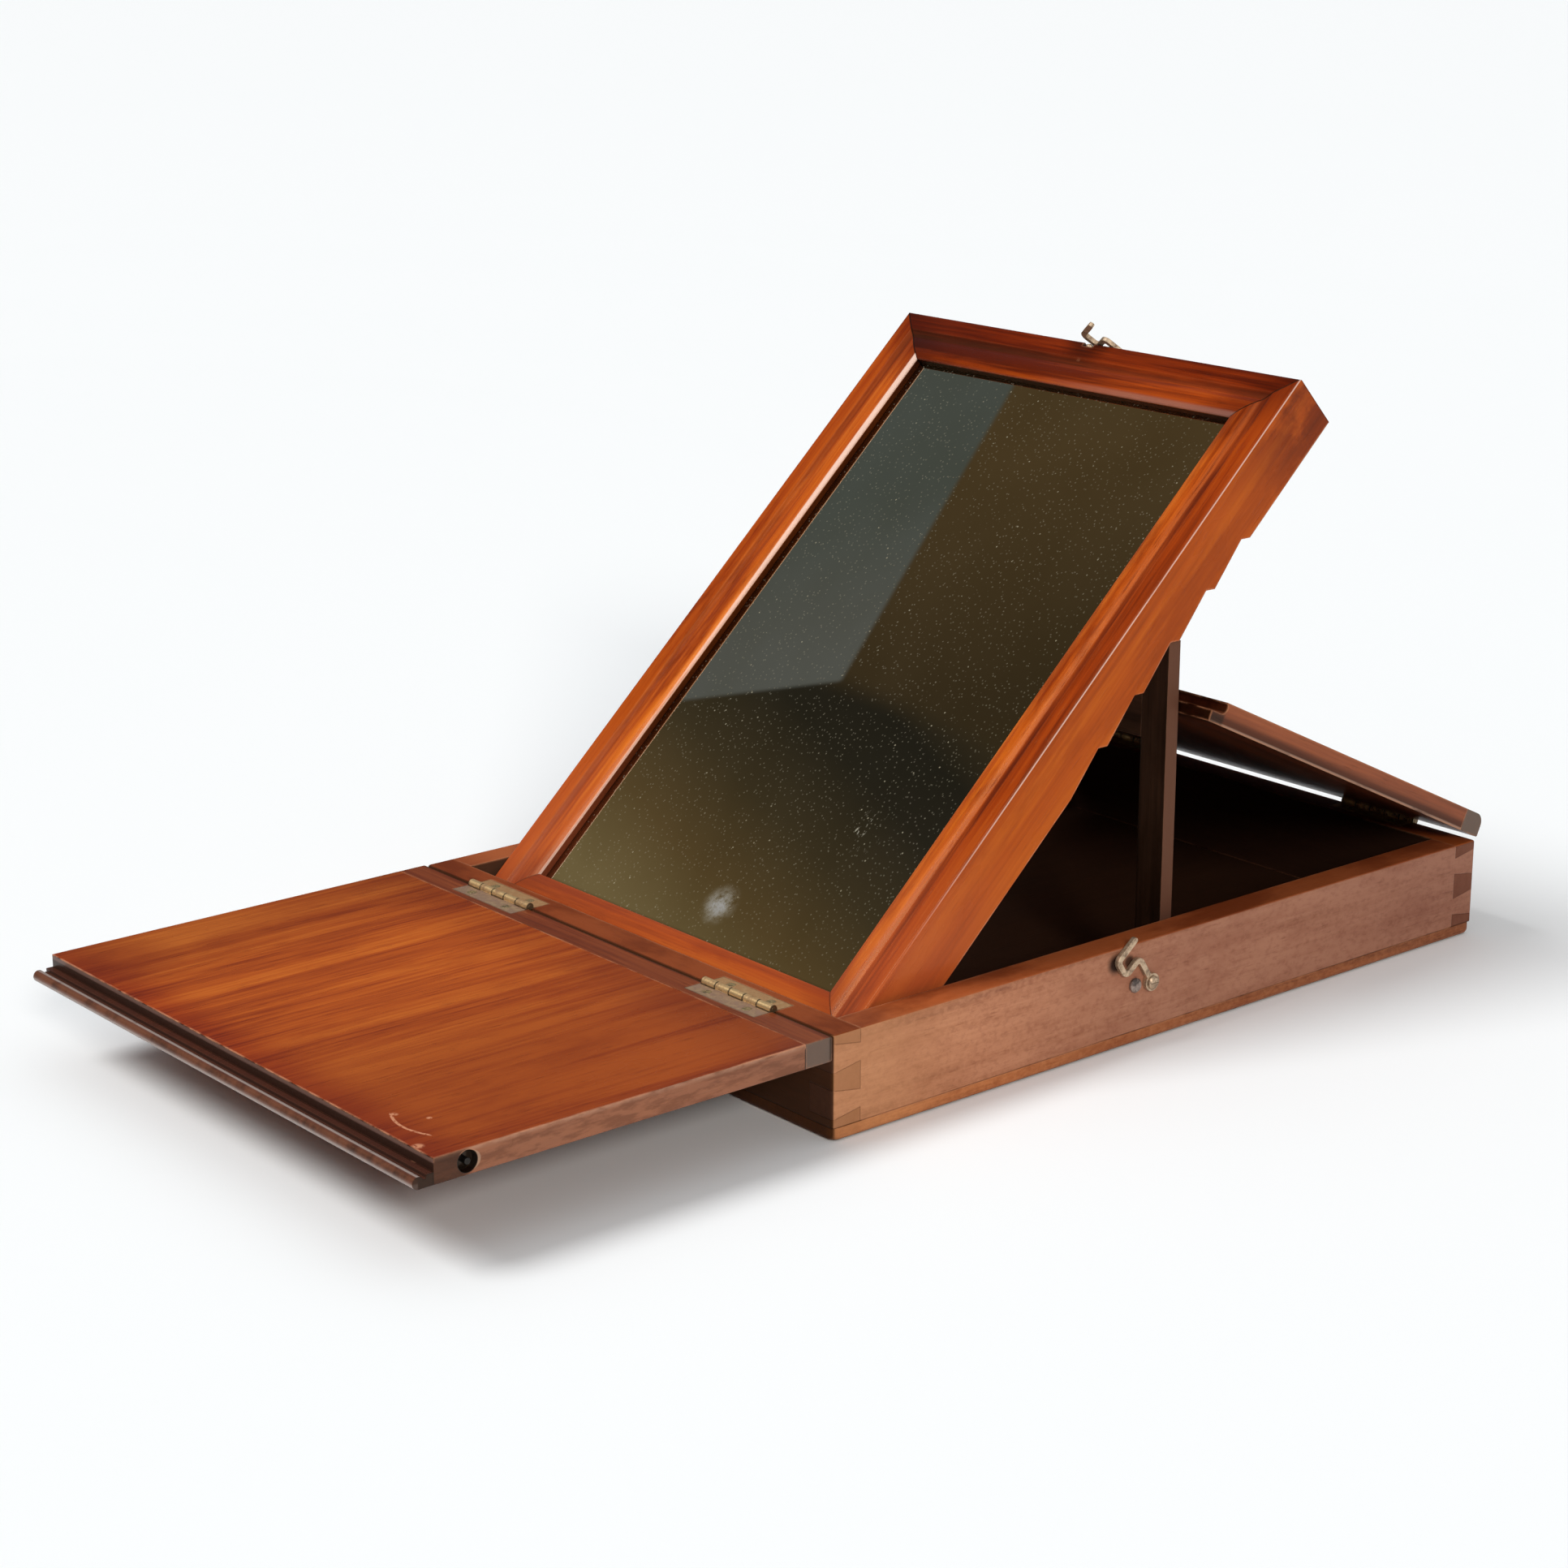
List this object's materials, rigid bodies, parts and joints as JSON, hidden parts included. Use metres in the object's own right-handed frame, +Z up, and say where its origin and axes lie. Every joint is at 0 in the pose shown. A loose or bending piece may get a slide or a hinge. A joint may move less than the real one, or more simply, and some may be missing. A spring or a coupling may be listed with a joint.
{
  "type": "vanity box with mirror",
  "caption": "Flat wooden travelling vanity box: dovetailed case, two hinged lid flaps, and a framed mirror that tilts up on a folding strut under saw-tooth notches.",
  "frame": {"origin": "middle of the underside of the case", "axes": "+Z up, +Y along the case to the rear flap's hinges, +X to the side wall that carries the hook"},
  "size_m": [0.2898, 0.6036, 0.2869],
  "materials": {
    "case_wood": "dull worn mahogany with a thin old polish",
    "bottom_wood": "lighter worn mahogany",
    "flap_wood": "polished orange-red mahogany",
    "cleat_wood": "polished darker mahogany",
    "frame_wood": "glossy deep red-brown mahogany",
    "strut_wood": "dull dark brown",
    "backboard_wood": "raw softwood, darkened",
    "mirror": "old silvered glass with fine foxing",
    "hinge_brass": "aged yellow brass",
    "hook_brass": "pale tarnished brass",
    "screw_brass": "tarnished brass",
    "steel_pins": "dull old iron"
  },
  "bodies": {
    "case": {"bottom_board": "bottom_wood", "front_wall": "case_wood", "rear_wall": "case_wood", "left_wall": "case_wood", "right_wall": "case_wood", "side_hook_screw": "screw_brass", "side_stud": "steel_pins", "front_case_hinge_screws": "screw_brass", "rear_case_hinge_screws": "screw_brass", "front_left_hinge_case_leaf": "hinge_brass", "front_right_hinge_case_leaf": "hinge_brass", "rear_left_hinge_case_leaf": "hinge_brass", "rear_right_hinge_case_leaf": "hinge_brass"},
    "front_flap": {"front_flap_panel": "flap_wood", "front_flap_cleat": "cleat_wood", "front_flap_hinge_screws": "screw_brass", "catch_pin": "steel_pins", "front_left_hinge_flap_leaf": "hinge_brass", "front_right_hinge_flap_leaf": "hinge_brass"},
    "rear_flap": {"rear_flap_panel": "flap_wood", "rear_flap_cleat": "cleat_wood", "rear_flap_hinge_screws": "screw_brass", "rear_left_hinge_flap_leaf": "hinge_brass", "rear_right_hinge_flap_leaf": "hinge_brass"},
    "mirror": {"frame_left_stile": "frame_wood", "frame_right_stile": "frame_wood", "frame_bottom_rail": "frame_wood", "frame_top_rail": "frame_wood", "mirror_glass": "mirror", "backboard": "backboard_wood", "backboard_brads": "steel_pins", "mirror_pivot_pins": "steel_pins", "top_hook_screw": "screw_brass", "top_stud": "steel_pins"},
    "strut": {"strut_left_leg": "strut_wood", "strut_right_leg": "strut_wood", "strut_top_rail": "strut_wood", "strut_pivot_pins": "steel_pins"},
    "side_hook": {"side_hook": "hook_brass"},
    "top_hook": {"top_hook": "hook_brass"}
  },
  "joints": [
    {"name": "front_flap_hinge", "type": "hinge", "parent": "case", "child": "front_flap", "pos_m": [0, -0.2003, 0.0467], "axis": [-1, 0, 0], "range_deg": [0, 110]},
    {"name": "rear_flap_hinge", "type": "hinge", "parent": "case", "child": "rear_flap", "pos_m": [0, 0.2003, 0.0467], "axis": [-1, 0, 0], "range_deg": [0, 154]},
    {"name": "mirror_tilt", "type": "hinge", "parent": "case", "child": "mirror", "pos_m": [0, -0.1618, 0.031], "axis": [1, 0, 0], "range_deg": [0, 30]},
    {"name": "strut_fold", "type": "hinge", "parent": "case", "child": "strut", "pos_m": [0, 0.0079, 0.0103], "axis": [-1, 0, 0], "range_deg": [0, 90.01]},
    {"name": "side_hook_turn", "type": "hinge", "parent": "case", "child": "side_hook", "pos_m": [0.143, -0.0198, 0.0271], "axis": [-1, 0, 0], "range_deg": [-22, 40]},
    {"name": "top_hook_turn", "type": "hinge", "parent": "mirror", "child": "top_hook", "pos_m": [0.0167, 0.08686, 0.26876], "axis": [0, 0.7325, 0.6807], "range_deg": [0, 60]}
  ],
  "couplings": [
    {"joint": "strut_fold", "follows": "rear_flap_hinge", "ratio": 0.58442}
  ]
}
